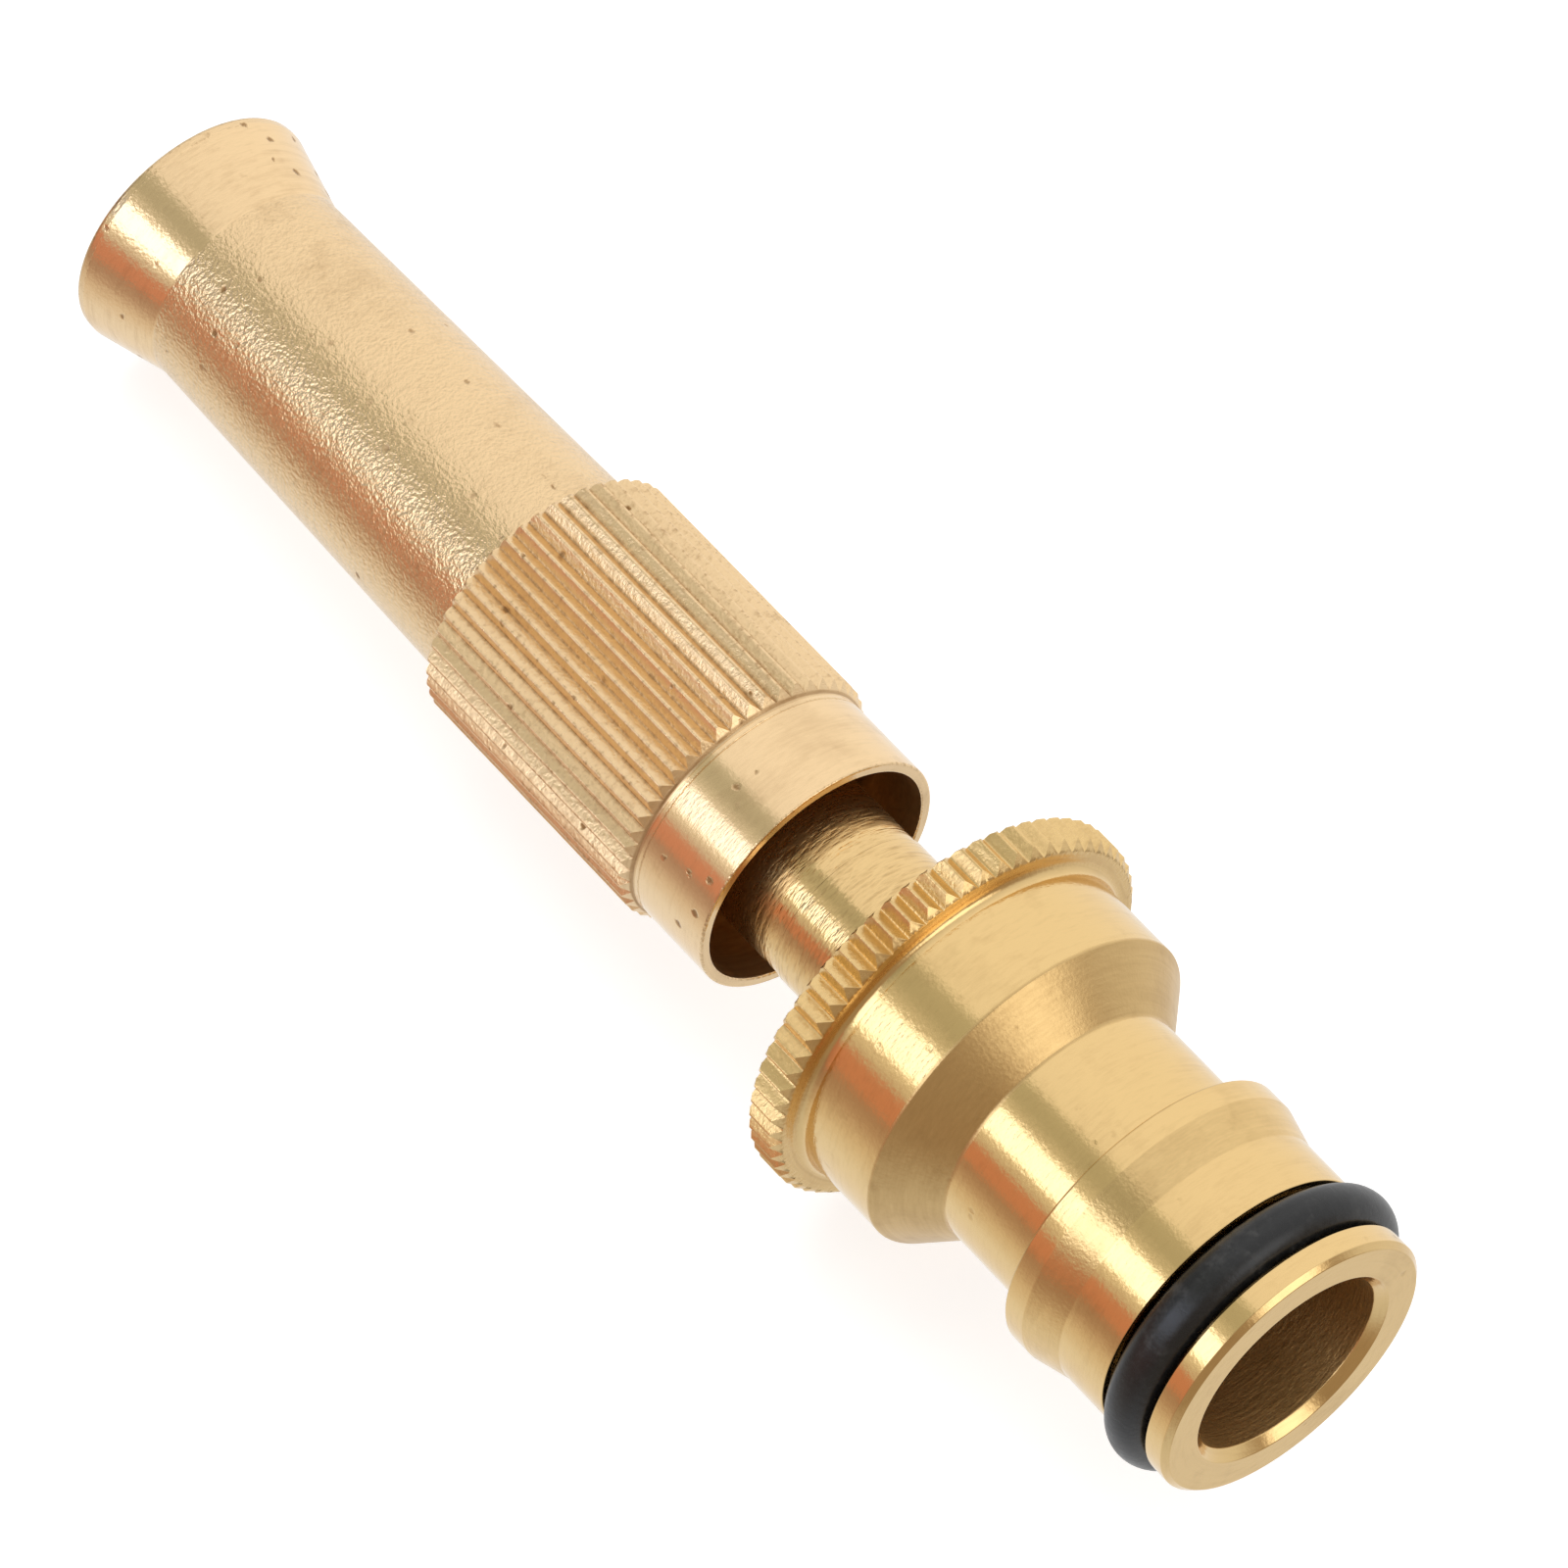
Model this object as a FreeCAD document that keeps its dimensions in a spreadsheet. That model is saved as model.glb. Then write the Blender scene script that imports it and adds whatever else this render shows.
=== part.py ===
"""Twist hose spray nozzle with a quick-connect spigot, as a parametric FreeCAD document.

Frame: the origin is the centre of the inlet face, +X points out of the inlet, along the nozzle's
axis, and +Z is up. A station is a distance from the inlet face towards the outlet, so a station
of 30 is the plane X = -30. Everything is in millimetres.

How it works: the barrel runs on the stem's main thread. Screwed towards the inlet, its conical
seat meets the O-ring at the stem's tip and shuts the water off; screwed the other way it opens.
"""
import FreeCAD, Part
import Sketcher
import os
import re

# Driving dimensions: alias, value, meaning. Stations and lengths run along X.
DIMENSIONS = [
    # Quick-connect spigot, from the inlet face.
    ("spigot_radius", 8.0, "end lip and land of the spigot"),
    ("spigot_chamfer", 0.3, "outer edge of the end lip"),
    ("inlet_radius", 5.45, "inlet bore"),
    ("inlet_chamfer", 0.5, "bright chamfer at the mouth of the inlet bore"),
    ("groove_start", 1.45, "station of the O-ring groove's rear wall"),
    ("groove_end", 4.6, "station of the O-ring groove's front wall"),
    ("groove_floor", 6.15, "radius of the O-ring groove's floor"),
    ("land_end", 7.8, "station where the bead's ramp begins"),
    ("bead_start", 9.9, "station where the bead reaches its crest"),
    ("bead_end", 11.2, "station where the crest ends"),
    ("bead_back", 11.5, "station where the bead drops to the neck"),
    ("bead_radius", 8.55, "crest of the locking bead"),
    ("neck_radius", 7.2, "neck that the coupling's claws close on"),
    ("cone_start", 17.4, "station of the cone's small end"),
    ("cone_end", 20.0, "station of the cone's large end"),
    ("collar_radius", 9.8, "collar behind the flange"),
    ("collar_fillet", 0.5, "fillet ring between collar and flange"),
    # Serrated flange of the adapter.
    ("flange_start", 25.15, "station of the flange's rear face"),
    ("flange_end", 27.35, "station of the flange's front face"),
    ("flange_radius", 11.46, "tips of the serrations"),
    ("flange_rear_chamfer", 0.45, "chamfer on the flange's rear edge"),
    ("flange_front_chamfer", 0.25, "chamfer on the flange's front edge"),
    ("serration_depth", 0.5, "depth of the serrations"),
    ("serration_count", 64, "serrations round the flange"),
    # Inside of the adapter.
    ("inlet_depth", 13.0, "station where the inlet bore ends"),
    ("web_bore", 4.0, "water hole through the washer's seat"),
    ("washer_seat", 17.5, "station of the washer's seat"),
    ("socket_radius", 5.95, "minor radius of the adapter's threaded socket"),
    ("socket_major", 6.75, "major radius of the socket's thread"),
    ("socket_relief_start", 19.3, "station where the socket's thread relief begins"),
    ("socket_relief_end", 20.6, "station where the socket's thread relief ends"),
    ("socket_relief", 6.8, "radius of the socket's thread relief"),
    # Rear thread of the stem, which holds it in the adapter.
    ("stem_start", 19.0, "station of the stem's rear face"),
    ("stem_nose", 5.6, "plain nose ahead of the rear thread"),
    ("rear_thread_start", 20.6, "station where the rear thread begins"),
    ("rear_thread_end", 26.4, "station where the rear thread ends"),
    ("rear_thread_crest", 6.5, "crest radius of the rear thread"),
    ("rear_thread_root", 5.75, "root radius of the rear thread"),
    ("rear_thread_pitch", 1.337, "pitch of the rear thread"),
    ("rear_thread_flat", 0.22, "width of the rear thread's crest"),
    ("rear_thread_slack", 0.1, "axial clearance of each flank of the rear thread"),
    # Neck, main thread and front of the stem.
    ("shoulder_radius", 4.75, "stem neck behind its fine shoulder"),
    ("shoulder_end", 33.4, "station of the neck's fine shoulder"),
    ("stem_radius", 4.67, "stem neck and sealing land"),
    ("main_thread_start", 39.0, "station where the main thread begins"),
    ("main_thread_end", 49.5, "station where the main thread ends"),
    ("main_thread_crest", 5.85, "crest radius of the stem's main thread"),
    ("main_thread_root", 5.0, "root radius of the stem's main thread"),
    ("main_thread_pitch", 2.0, "pitch of the main thread"),
    ("main_thread_flat", 0.4, "width of the main thread's crest"),
    ("main_thread_slack", 0.25, "axial clearance of each flank of the main thread"),
    ("land_front", 62.0, "station where the stem's sealing land ends"),
    ("waist_radius", 4.0, "slim front of the stem, which the water flows round"),
    ("water_bore", 2.9, "bore of the stem"),
    ("water_bore_end", 67.9, "station where the stem's bore ends"),
    ("port_station", 66.0, "station of the cross ports"),
    ("port_radius", 1.4, "radius of a cross port"),
    ("port_count", 4, "cross ports round the stem"),
    # Valve tip of the stem.
    ("tip_ring_station", 71.42, "station of the shut-off O-ring's centre plane"),
    ("tip_ring_mean", 3.6, "mean radius of the shut-off O-ring"),
    ("tip_ring_section", 0.95, "section radius of the shut-off O-ring"),
    ("tip_groove_half", 1.0, "half the width of the shut-off O-ring's groove"),
    ("tip_groove_floor", 2.62, "radius of that groove's floor"),
    ("tip_shoulder", 4.4, "shoulder behind that groove"),
    ("tip_shoulder_length", 0.85, "length of that shoulder"),
    ("nose_radius", 3.75, "valve cone at its large end"),
    ("needle_radius", 2.0, "valve cone at its small end"),
    ("needle_end_radius", 1.3, "front end of the needle"),
    ("needle_end", 76.8, "station of the needle's front end"),
    ("needle_round", 0.6, "rounding of the needle's front end"),
    # Outside of the barrel.
    ("skirt_start", 36.1, "station of the skirt's rear edge"),
    ("skirt_radius", 7.26, "outside of the skirt"),
    ("skirt_bore", 6.67, "inside of the skirt"),
    ("skirt_depth", 4.9, "depth of the skirt's counterbore"),
    ("skirt_edge", 0.12, "chamfer of the skirt's rear edge"),
    ("grip_start", 41.48, "station where the knurled grip begins"),
    ("grip_end", 57.6, "station where the knurled grip ends"),
    ("grip_radius", 7.77, "crests of the knurl"),
    ("grip_chamfer", 0.51, "length of the turned chamfer at the grip's rear end"),
    ("grip_round", 0.25, "rounding of the grip's front edge"),
    ("knurl_depth", 0.42, "depth of the knurl"),
    ("knurl_count", 48, "ribs round the grip"),
    ("tube_rear_radius", 6.6, "tube at the grip"),
    ("tube_fillet", 0.35, "fillet between tube and grip"),
    ("tube_front_radius", 6.06, "tube where the flare begins"),
    ("flare_start", 82.5, "station where the flare begins"),
    ("flare_radius", 7.17, "rim of the mouth"),
    ("rim_start", 86.9, "station where the rim begins"),
    ("barrel_end", 87.5, "station of the mouth's face"),
    ("rim_round", 0.4, "rounding of the rim"),
    # Inside of the barrel.
    ("nut_minor", 5.25, "minor radius of the barrel's thread"),
    ("nut_major", 6.1, "major radius of the barrel's thread"),
    ("nut_relief_start", 52.2, "station where the thread relief begins"),
    ("nut_relief_end", 53.9, "station where the thread relief ends"),
    ("nut_thread_length", 13.0, "how far the barrel's thread runs along the axis"),
    ("nut_relief", 6.2, "radius of the thread relief"),
    ("seal_groove_start", 54.6, "station of the seal groove's rear wall"),
    ("seal_groove_end", 56.6, "station of the seal groove's front wall"),
    ("seal_groove_floor", 6.6, "radius of the seal groove's floor"),
    ("seal_mean", 5.65, "mean radius of the sliding seal"),
    ("seal_section", 0.9, "section radius of the sliding seal"),
    ("barrel_bore", 5.0, "bore of the barrel"),
    ("seat_start", 74.5, "station where the conical seat begins"),
    ("orifice_start", 77.1, "station where the orifice begins"),
    ("orifice_radius", 2.4, "orifice"),
    ("orifice_end", 79.6, "station where the orifice ends"),
    ("mouth_radius", 6.35, "mouth at its face"),
    # Cutters.
    ("cutter_rise", 0.1, "how far a rib or thread cutter stands clear of the blank"),
    ("flank_slope", 0.577, "thread flanks, axial over radial"),
    # Rubber parts.
    ("coupling_ring_station", 3.03, "station of the spigot's O-ring"),
    ("coupling_ring_mean", 7.49, "mean radius of the spigot's O-ring"),
    ("coupling_ring_section", 1.31, "section radius of the spigot's O-ring"),
    ("washer_radius", 5.8, "outside of the inlet washer"),
    ("washer_hole", 4.0, "hole of the inlet washer"),
]

FULL_TURN = 360
RIM_TOLERANCE = 0.01

document = FreeCAD.newDocument("hose_nozzle")
sheet = document.addObject("Spreadsheet::Sheet", "Dimensions")


def fill_sheet():
    """Write one row a dimension: its meaning, its value and the value's alias."""
    for row, (alias, value, meaning) in enumerate(DIMENSIONS, start=1):
        sheet.set(f"A{row}", meaning)
        sheet.set(f"B{row}", str(value))
        sheet.setAlias(f"B{row}", alias)
    document.recompute()


def bound(formula):
    """The same formula with every alias pointing at the sheet."""
    return re.sub(r"[a-z][a-z_]+", lambda word: "Dimensions." + word.group(0), formula)


def size(formula):
    """The number that a formula of aliases gives."""
    return float(sheet.evalExpression(formula))


# Helpers: bodies and sketches


def new_body(label):
    """An empty body; its label names its file."""
    body = document.addObject("PartDesign::Body", label)
    body.Label = label
    return body


def new_sketch(body, name, role):
    """An empty sketch on the origin plane of the body that has this role."""
    plane = next(item for item in body.Origin.OriginFeatures if item.Role == role)
    sketch = body.newObject("Sketcher::SketchObject", name)
    sketch.AttachmentSupport = (plane, "")
    sketch.MapMode = "FlatFace"
    document.recompute()
    return sketch


def draw_polygon(sketch, points):
    """Closed chain of lines through the points; line i starts at point i."""
    ends = points[1:] + points[:1]
    lines = [Part.LineSegment(start, end) for start, end in zip(points, ends)]
    sketch.addGeometry(lines, False)
    for index in range(len(lines)):
        following = (index + 1) % len(lines)
        sketch.addConstraint(Sketcher.Constraint("Coincident", index, 2, following, 1))


def hold_distance(sketch, direction, first, second, formula):
    """Bind the distance from the first to the second point, each (geometry, end), to a formula."""
    constraint = Sketcher.Constraint(direction, *first, *second, size(formula))
    index = sketch.addConstraint(constraint)
    sketch.setExpression(f"Constraints[{index}]", bound(formula))


def outline_sketch(body, name, corners):
    """Closed outline in the XZ plane; each corner is a station and a radius, as formulas."""
    sketch = new_sketch(body, name, "XZ_Plane")
    origin = (-1, 1)
    horizontal_axis = -1
    points = [FreeCAD.Vector(-size(station), size(radius), 0) for station, radius in corners]
    draw_polygon(sketch, points)
    for index, (station, radius) in enumerate(corners):
        corner = (index, 1)
        hold_distance(sketch, "DistanceX", corner, origin, station)
        if radius == "0":
            sketch.addConstraint(Sketcher.Constraint("PointOnObject", *corner, horizontal_axis))
        else:
            hold_distance(sketch, "DistanceY", origin, corner, radius)
    document.recompute()
    return sketch


# Helpers: features


def turn(body, name, corners):
    """Revolve an outline about the nozzle's axis."""
    sketch = outline_sketch(body, name + "_outline", corners)
    turning = body.newObject("PartDesign::Revolution", name)
    turning.Profile = sketch
    turning.ReferenceAxis = (sketch, ["H_Axis"])
    turning.Angle = FULL_TURN
    document.recompute()
    return turning


def rims(feature, station, radius):
    """Names of the circular edges at a station with a radius, both formulas."""
    names = []
    for number, edge in enumerate(feature.Shape.Edges, start=1):
        if edge.Curve.TypeId != "Part::GeomCircle":
            continue
        station_error = abs(edge.Curve.Center.x + size(station))
        radius_error = abs(edge.Curve.Radius - size(radius))
        if station_error < RIM_TOLERANCE and radius_error < RIM_TOLERANCE:
            names.append(f"Edge{number}")
    return names


def round_rim(body, name, station, radius, rounding):
    """Fillet the rim at a station and radius with a rounding from the sheet."""
    base = body.Tip
    fillet = body.newObject("PartDesign::Fillet", name)
    fillet.Base = (base, rims(base, station, radius))
    fillet.setExpression("Radius", bound(rounding))
    document.recompute()
    return fillet


def cut_ribs(body, name, start, end, crest, depth, count):
    """Straight V-grooves with 90 degree flanks between two stations, repeated round the axis."""
    top = f"{crest} + cutter_rise"
    half_width = f"{depth} + cutter_rise"
    sketch = new_sketch(body, name + "_notch", "YZ_Plane")
    sketch.setExpression("AttachmentOffset.Base.z", "-" + bound(start))
    origin = (-1, 1)
    vertical_axis = -2
    root = FreeCAD.Vector(0, size(f"{crest} - {depth}"), 0)
    right = FreeCAD.Vector(size(half_width), size(top), 0)
    left = FreeCAD.Vector(-size(half_width), size(top), 0)
    draw_polygon(sketch, [root, right, left])
    sketch.addConstraint(Sketcher.Constraint("PointOnObject", 0, 1, vertical_axis))
    hold_distance(sketch, "DistanceY", origin, (0, 1), f"{crest} - {depth}")
    hold_distance(sketch, "DistanceX", origin, (1, 1), half_width)
    hold_distance(sketch, "DistanceY", origin, (1, 1), top)
    hold_distance(sketch, "DistanceX", (2, 1), origin, half_width)
    hold_distance(sketch, "DistanceY", origin, (2, 1), top)
    groove = body.newObject("PartDesign::Pocket", name + "_groove")
    groove.Profile = sketch
    groove.setExpression("Length", bound(f"{end} - {start}"))
    repeat_round_axis(body, name, groove, (sketch, ["N_Axis"]), count)


def repeat_round_axis(body, name, feature, axis, count):
    """Repeat a feature evenly round the nozzle's axis."""
    document.recompute()
    pattern = body.newObject("PartDesign::PolarPattern", name)
    pattern.Originals = [feature]
    pattern.Axis = axis
    pattern.Angle = FULL_TURN
    pattern.setExpression("Occurrences", bound(count))
    body.Tip = pattern
    document.recompute()


def cut_thread(body, name, groove, length, pitch):
    """Sweep a groove's outline along a right-hand helix, from its station towards the outlet."""
    sketch = outline_sketch(body, name + "_groove", groove)
    thread = body.newObject("PartDesign::SubtractiveHelix", name)
    thread.Profile = sketch
    thread.ReferenceAxis = (sketch, ["H_Axis"])
    thread.Mode = "pitch-height-angle"
    thread.Reversed = True
    thread.setExpression("Pitch", bound(pitch))
    thread.setExpression("Height", bound(length))
    document.recompute()
    return thread


def groove_outline(centre, near, far, near_half, far_half):
    """Trapezoid round a station: a radius and a half width at its two ends."""
    return [
        (f"{centre} - ({near_half})", near),
        (f"{centre} + ({near_half})", near),
        (f"{centre} + ({far_half})", far),
        (f"{centre} - ({far_half})", far),
    ]


# Turned parts


def make_adapter():
    """Quick-connect spigot, serrated flange and threaded socket, one turned piece."""
    body = new_body("spigot_adapter")
    turn(body, "adapter_turning", [
        ("inlet_chamfer", "inlet_radius"),
        ("0", "inlet_radius + inlet_chamfer"),
        ("0", "spigot_radius - spigot_chamfer"),
        ("spigot_chamfer", "spigot_radius"),
        ("groove_start", "spigot_radius"),
        ("groove_start", "groove_floor"),
        ("groove_end", "groove_floor"),
        ("groove_end", "spigot_radius"),
        ("land_end", "spigot_radius"),
        ("bead_start", "bead_radius"),
        ("bead_end", "bead_radius"),
        ("bead_back", "neck_radius"),
        ("cone_start", "neck_radius"),
        ("cone_end", "collar_radius"),
        ("flange_start", "collar_radius"),
        ("flange_start", "flange_radius - flange_rear_chamfer"),
        ("flange_start + flange_rear_chamfer", "flange_radius"),
        ("flange_end - flange_front_chamfer", "flange_radius"),
        ("flange_end", "flange_radius - flange_front_chamfer"),
        ("flange_end", "socket_major"),
        ("flange_end - socket_major + socket_radius", "socket_radius"),
        ("socket_relief_end", "socket_radius"),
        ("socket_relief_end", "socket_relief"),
        ("socket_relief_start", "socket_relief"),
        ("socket_relief_start", "socket_radius"),
        ("washer_seat", "socket_radius"),
        ("washer_seat", "web_bore"),
        ("inlet_depth", "web_bore"),
        ("inlet_depth", "inlet_radius"),
    ])
    round_rim(body, "collar_ring", "flange_start", "collar_radius", "collar_fillet")
    socket_groove = groove_outline(
        "rear_thread_start - rear_thread_pitch / 2",
        "socket_radius - cutter_rise",
        "socket_major",
        nut_half_width("rear_thread", "socket_radius - cutter_rise"),
        nut_half_width("rear_thread", "socket_major"),
    )
    cut_thread(body, "socket_thread", socket_groove,
               "flange_end - rear_thread_start + 2 * rear_thread_pitch", "rear_thread_pitch")
    cut_ribs(body, "serrations", "flange_start", "flange_end", "flange_radius",
             "serration_depth", "serration_count")
    return body


def screw_half_width(thread, radius):
    """Half width, at a radius, of the groove between a screw's ridges."""
    ridge = f"({thread}_flat / 2 + ({thread}_crest - ({radius})) * flank_slope)"
    return f"{thread}_pitch / 2 - {ridge}"


def nut_half_width(thread, radius):
    """Half width, at a radius, of the groove that holds a screw's ridge with its slack."""
    ridge = f"({thread}_flat / 2 + ({thread}_crest - ({radius})) * flank_slope)"
    return f"{ridge} + {thread}_slack"


def screw_groove(thread):
    """Outline of a screw's groove, one pitch behind the thread's start."""
    top = f"{thread}_crest + cutter_rise"
    root = f"{thread}_root"
    return groove_outline(f"{thread}_start - {thread}_pitch", top, root,
                          screw_half_width(thread, top), screw_half_width(thread, root))


def make_stem():
    """Hollow stem: rear thread, neck, main thread, sealing land, cross ports and valve tip."""
    body = new_body("stem")
    groove_rear = "tip_ring_station - tip_groove_half"
    groove_front = "tip_ring_station + tip_groove_half"
    turn(body, "stem_turning", [
        ("stem_start", "water_bore"),
        ("stem_start", "stem_nose"),
        ("rear_thread_start", "stem_nose"),
        ("rear_thread_start + rear_thread_crest - stem_nose", "rear_thread_crest"),
        ("rear_thread_end - rear_thread_crest + stem_nose", "rear_thread_crest"),
        ("rear_thread_end", "stem_nose"),
        ("rear_thread_end", "shoulder_radius"),
        ("shoulder_end", "shoulder_radius"),
        ("shoulder_end", "stem_radius"),
        ("main_thread_start", "stem_radius"),
        ("main_thread_start + main_thread_crest - stem_radius", "main_thread_crest"),
        ("main_thread_end - main_thread_crest + stem_radius", "main_thread_crest"),
        ("main_thread_end", "stem_radius"),
        ("land_front", "stem_radius"),
        ("land_front + stem_radius - waist_radius", "waist_radius"),
        (f"{groove_rear} - tip_shoulder_length", "waist_radius"),
        (f"{groove_rear} - tip_shoulder_length", "tip_shoulder"),
        (groove_rear, "tip_shoulder"),
        (groove_rear, "tip_groove_floor"),
        (groove_front, "tip_groove_floor"),
        (groove_front, "nose_radius"),
        (f"{groove_front} + nose_radius - needle_radius", "needle_radius"),
        ("needle_end", "needle_end_radius"),
        ("needle_end", "0"),
        ("water_bore_end + water_bore * flank_slope", "0"),
        ("water_bore_end", "water_bore"),
    ])
    round_rim(body, "needle_tip", "needle_end", "needle_end_radius", "needle_round")
    cut_thread(body, "rear_thread", screw_groove("rear_thread"),
               "rear_thread_end - rear_thread_start + 2 * rear_thread_pitch", "rear_thread_pitch")
    cut_thread(body, "main_thread", screw_groove("main_thread"),
               "main_thread_end - main_thread_start + 2 * main_thread_pitch", "main_thread_pitch")
    drill_ports(body)
    return body


def drill_ports(body):
    """Cross ports that let the water out of the stem behind the valve tip."""
    sketch = new_sketch(body, "port_circle", "XY_Plane")
    centre = FreeCAD.Vector(-size("port_station"), 0, 0)
    normal = FreeCAD.Vector(0, 0, 1)
    horizontal_axis = -1
    sketch.addGeometry(Part.Circle(centre, normal, size("port_radius")), False)
    sketch.addConstraint(Sketcher.Constraint("PointOnObject", 0, 3, horizontal_axis))
    hold_distance(sketch, "DistanceX", (0, 3), (-1, 1), "port_station")
    radius = sketch.addConstraint(Sketcher.Constraint("Radius", 0, size("port_radius")))
    sketch.setExpression(f"Constraints[{radius}]", bound("port_radius"))
    port = body.newObject("PartDesign::Pocket", "port")
    port.Profile = sketch
    port.setExpression("Length", bound("stem_radius"))
    repeat_round_axis(body, "ports", port, (sketch, ["H_Axis"]), "port_count")


def make_barrel():
    """Outer sleeve: skirt, knurled grip, tapered tube, flared mouth, thread and conical seat."""
    body = new_body("barrel")
    turn(body, "barrel_turning", [
        ("skirt_start", "skirt_bore"),
        ("skirt_start", "skirt_radius - skirt_edge"),
        ("skirt_start + skirt_edge", "skirt_radius"),
        ("grip_start", "skirt_radius"),
        ("grip_start + grip_chamfer", "grip_radius"),
        ("grip_end", "grip_radius"),
        ("grip_end", "tube_rear_radius"),
        ("flare_start", "tube_front_radius"),
        ("rim_start", "flare_radius"),
        ("barrel_end", "flare_radius"),
        ("barrel_end", "mouth_radius"),
        ("orifice_end", "orifice_radius"),
        ("orifice_start", "orifice_radius"),
        ("seat_start", "barrel_bore"),
        ("seal_groove_end", "barrel_bore"),
        ("seal_groove_end", "seal_groove_floor"),
        ("seal_groove_start", "seal_groove_floor"),
        ("seal_groove_start", "nut_minor"),
        ("nut_relief_end", "nut_minor"),
        ("nut_relief_end", "nut_relief"),
        ("nut_relief_start", "nut_relief"),
        ("nut_relief_start", "nut_minor"),
        ("skirt_start + skirt_depth + nut_major - nut_minor", "nut_minor"),
        ("skirt_start + skirt_depth", "nut_major"),
        ("skirt_start + skirt_depth", "skirt_bore"),
    ])
    round_rim(body, "mouth_rim", "barrel_end", "flare_radius", "rim_round")
    round_rim(body, "grip_front", "grip_end", "grip_radius", "grip_round")
    round_rim(body, "tube_root", "grip_end", "tube_rear_radius", "tube_fillet")
    nut_groove = groove_outline(
        "main_thread_start + main_thread_pitch / 2",
        "nut_minor - cutter_rise",
        "nut_major",
        nut_half_width("main_thread", "nut_minor - cutter_rise"),
        nut_half_width("main_thread", "nut_major"),
    )
    cut_thread(body, "barrel_thread", nut_groove, "nut_thread_length", "main_thread_pitch")
    cut_ribs(body, "knurl", "grip_start", "grip_end", "grip_radius", "knurl_depth", "knurl_count")
    return body


# Rubber parts


def make_ring(label, station, mean_radius, section_radius):
    """O-ring round the nozzle's axis, centred on a station."""
    ring = document.addObject("Part::Torus", label)
    ring.Label = label
    ring.Placement = FreeCAD.Placement(
        FreeCAD.Vector(-size(station), 0, 0),
        FreeCAD.Rotation(FreeCAD.Vector(0, 0, 1), FreeCAD.Vector(1, 0, 0)),
    )
    ring.setExpression("Placement.Base.x", "-" + bound(station))
    ring.setExpression("Radius1", bound(mean_radius))
    ring.setExpression("Radius2", bound(section_radius))
    return ring


def make_washer():
    """Flat washer between the adapter's seat and the stem's rear face."""
    body = new_body("inlet_washer")
    turn(body, "washer_ring", [
        ("washer_seat", "washer_hole"),
        ("washer_seat", "washer_radius"),
        ("stem_start", "washer_radius"),
        ("stem_start", "washer_hole"),
    ])
    return body


# Build, check, write


def check(parts):
    """Stop if any object failed or any sub-part is not one valid solid."""
    failed = [item.Name for item in document.Objects if {"Invalid", "Error"} & set(item.State)]
    if failed:
        raise RuntimeError("failed objects: " + ", ".join(failed))
    for part in parts:
        shape = part.Shape
        if shape.isNull() or not shape.isValid() or len(shape.Solids) != 1:
            raise RuntimeError("bad shape: " + part.Label)


def write(parts):
    """One STEP file a sub-part."""
    os.makedirs("parts", exist_ok=True)
    for part in parts:
        part.Shape.exportStep(f"parts/{part.Label}.step")
        box = part.Shape.BoundBox
        print(f"{part.Label}: {part.Shape.Volume:.1f} mm3, x {box.XMin:.2f} to {box.XMax:.2f}, "
              f"radius {box.ZMax:.2f}, {len(part.Shape.Faces)} faces")


def main():
    """Make every sub-part, check them and write them."""
    fill_sheet()
    parts = [
        make_adapter(),
        make_stem(),
        make_barrel(),
        make_washer(),
        make_ring("coupling_oring", "coupling_ring_station", "coupling_ring_mean",
                  "coupling_ring_section"),
        make_ring("sealing_oring", "(seal_groove_start + seal_groove_end) / 2", "seal_mean",
                  "seal_section"),
        make_ring("shutoff_oring", "tip_ring_station", "tip_ring_mean", "tip_ring_section"),
    ]
    document.recompute()
    check(parts)
    write(parts)


main()
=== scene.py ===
# %% [markdown]
# # A twist hose nozzle in brass
#
# The nozzle is three turned brass pieces and four rubber ones, all round about one axis. The
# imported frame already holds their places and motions, so this lesson only makes the surfaces that
# are seen. It shows how to build turned, knurled and threaded metal as numpy grids, and how to
# light and shade bright brass so that it reads as metal.

# %% Load the frame
import math

import bpy
import numpy as np
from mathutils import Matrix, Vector


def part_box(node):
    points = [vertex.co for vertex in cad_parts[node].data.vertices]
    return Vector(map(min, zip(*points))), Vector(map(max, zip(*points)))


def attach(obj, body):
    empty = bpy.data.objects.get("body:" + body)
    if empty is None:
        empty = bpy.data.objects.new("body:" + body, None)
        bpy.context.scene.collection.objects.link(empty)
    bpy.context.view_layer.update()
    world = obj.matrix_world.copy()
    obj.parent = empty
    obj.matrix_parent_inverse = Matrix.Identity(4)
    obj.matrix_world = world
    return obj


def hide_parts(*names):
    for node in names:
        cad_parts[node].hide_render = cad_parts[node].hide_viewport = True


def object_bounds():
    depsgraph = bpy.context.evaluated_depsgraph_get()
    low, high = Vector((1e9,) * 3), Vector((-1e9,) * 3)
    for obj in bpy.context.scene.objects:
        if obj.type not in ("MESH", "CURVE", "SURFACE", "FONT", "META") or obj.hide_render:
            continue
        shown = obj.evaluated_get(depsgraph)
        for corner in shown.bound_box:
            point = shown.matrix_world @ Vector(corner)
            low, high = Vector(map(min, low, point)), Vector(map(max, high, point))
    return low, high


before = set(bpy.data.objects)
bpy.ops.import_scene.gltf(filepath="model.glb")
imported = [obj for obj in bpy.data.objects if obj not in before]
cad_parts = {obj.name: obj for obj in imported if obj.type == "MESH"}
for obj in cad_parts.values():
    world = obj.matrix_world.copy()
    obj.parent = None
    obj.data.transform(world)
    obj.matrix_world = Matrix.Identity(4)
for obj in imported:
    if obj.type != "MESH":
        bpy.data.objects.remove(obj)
cad_low, cad_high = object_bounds()
print("frame:", sorted(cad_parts), "box", tuple(cad_low), tuple(cad_high))

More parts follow.
